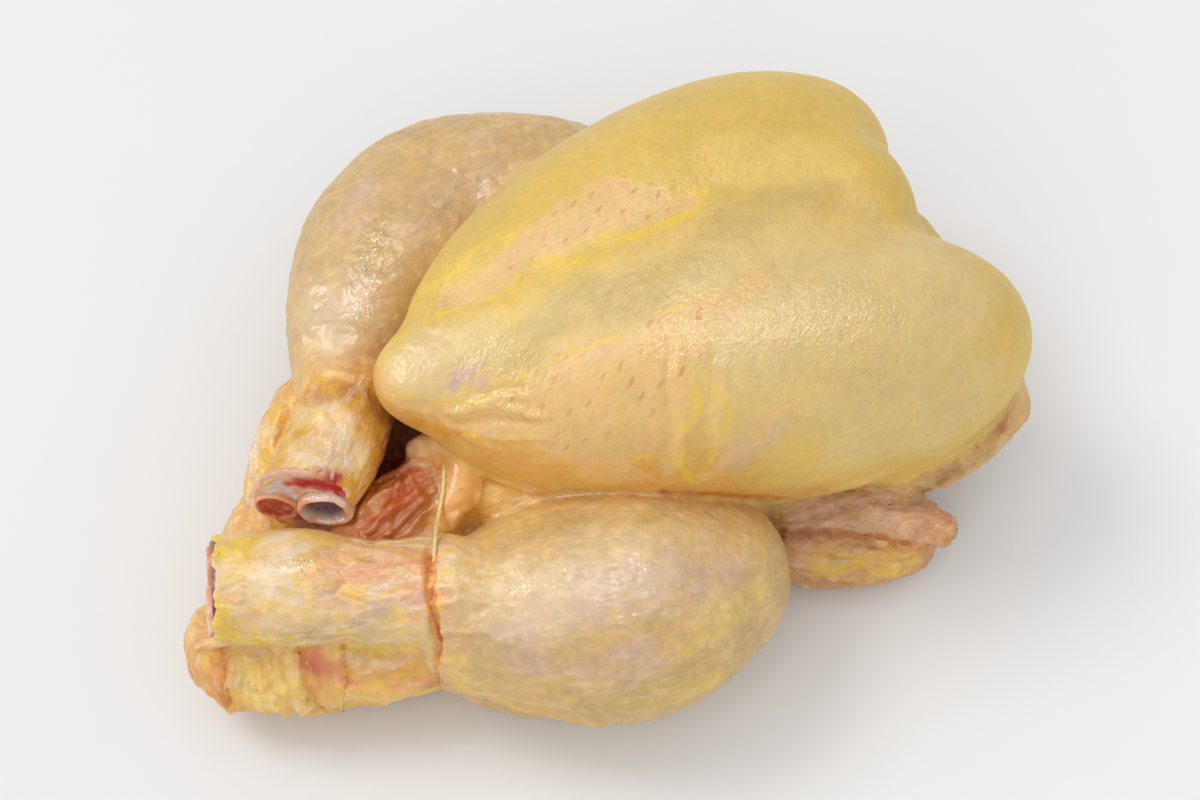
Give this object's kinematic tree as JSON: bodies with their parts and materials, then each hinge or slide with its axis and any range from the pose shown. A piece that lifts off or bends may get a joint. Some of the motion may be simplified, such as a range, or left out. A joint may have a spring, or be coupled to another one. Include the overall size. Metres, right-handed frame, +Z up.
{
  "type": "whole raw chicken",
  "caption": "Whole raw oven-ready chicken with yellow skin, lying on its back with the legs folded, the hocks cut and an elastic trussing thread.",
  "frame": {"origin": "centre of the bird's bounding box, on the plane that its back rests on", "axes": "+X towards the neck end, -Y towards the bird's left side, +Z up out of the breast"},
  "size_m": [0.2684, 0.2093, 0.1138],
  "materials": {
    "raw_skin": "moist yellow raw skin, satin to glossy",
    "truss_thread": "cream twisted elastic thread, matt"
  },
  "bodies": {
    "root": {"chicken": "raw_skin", "truss_thread": "truss_thread"}
  },
  "joints": []
}
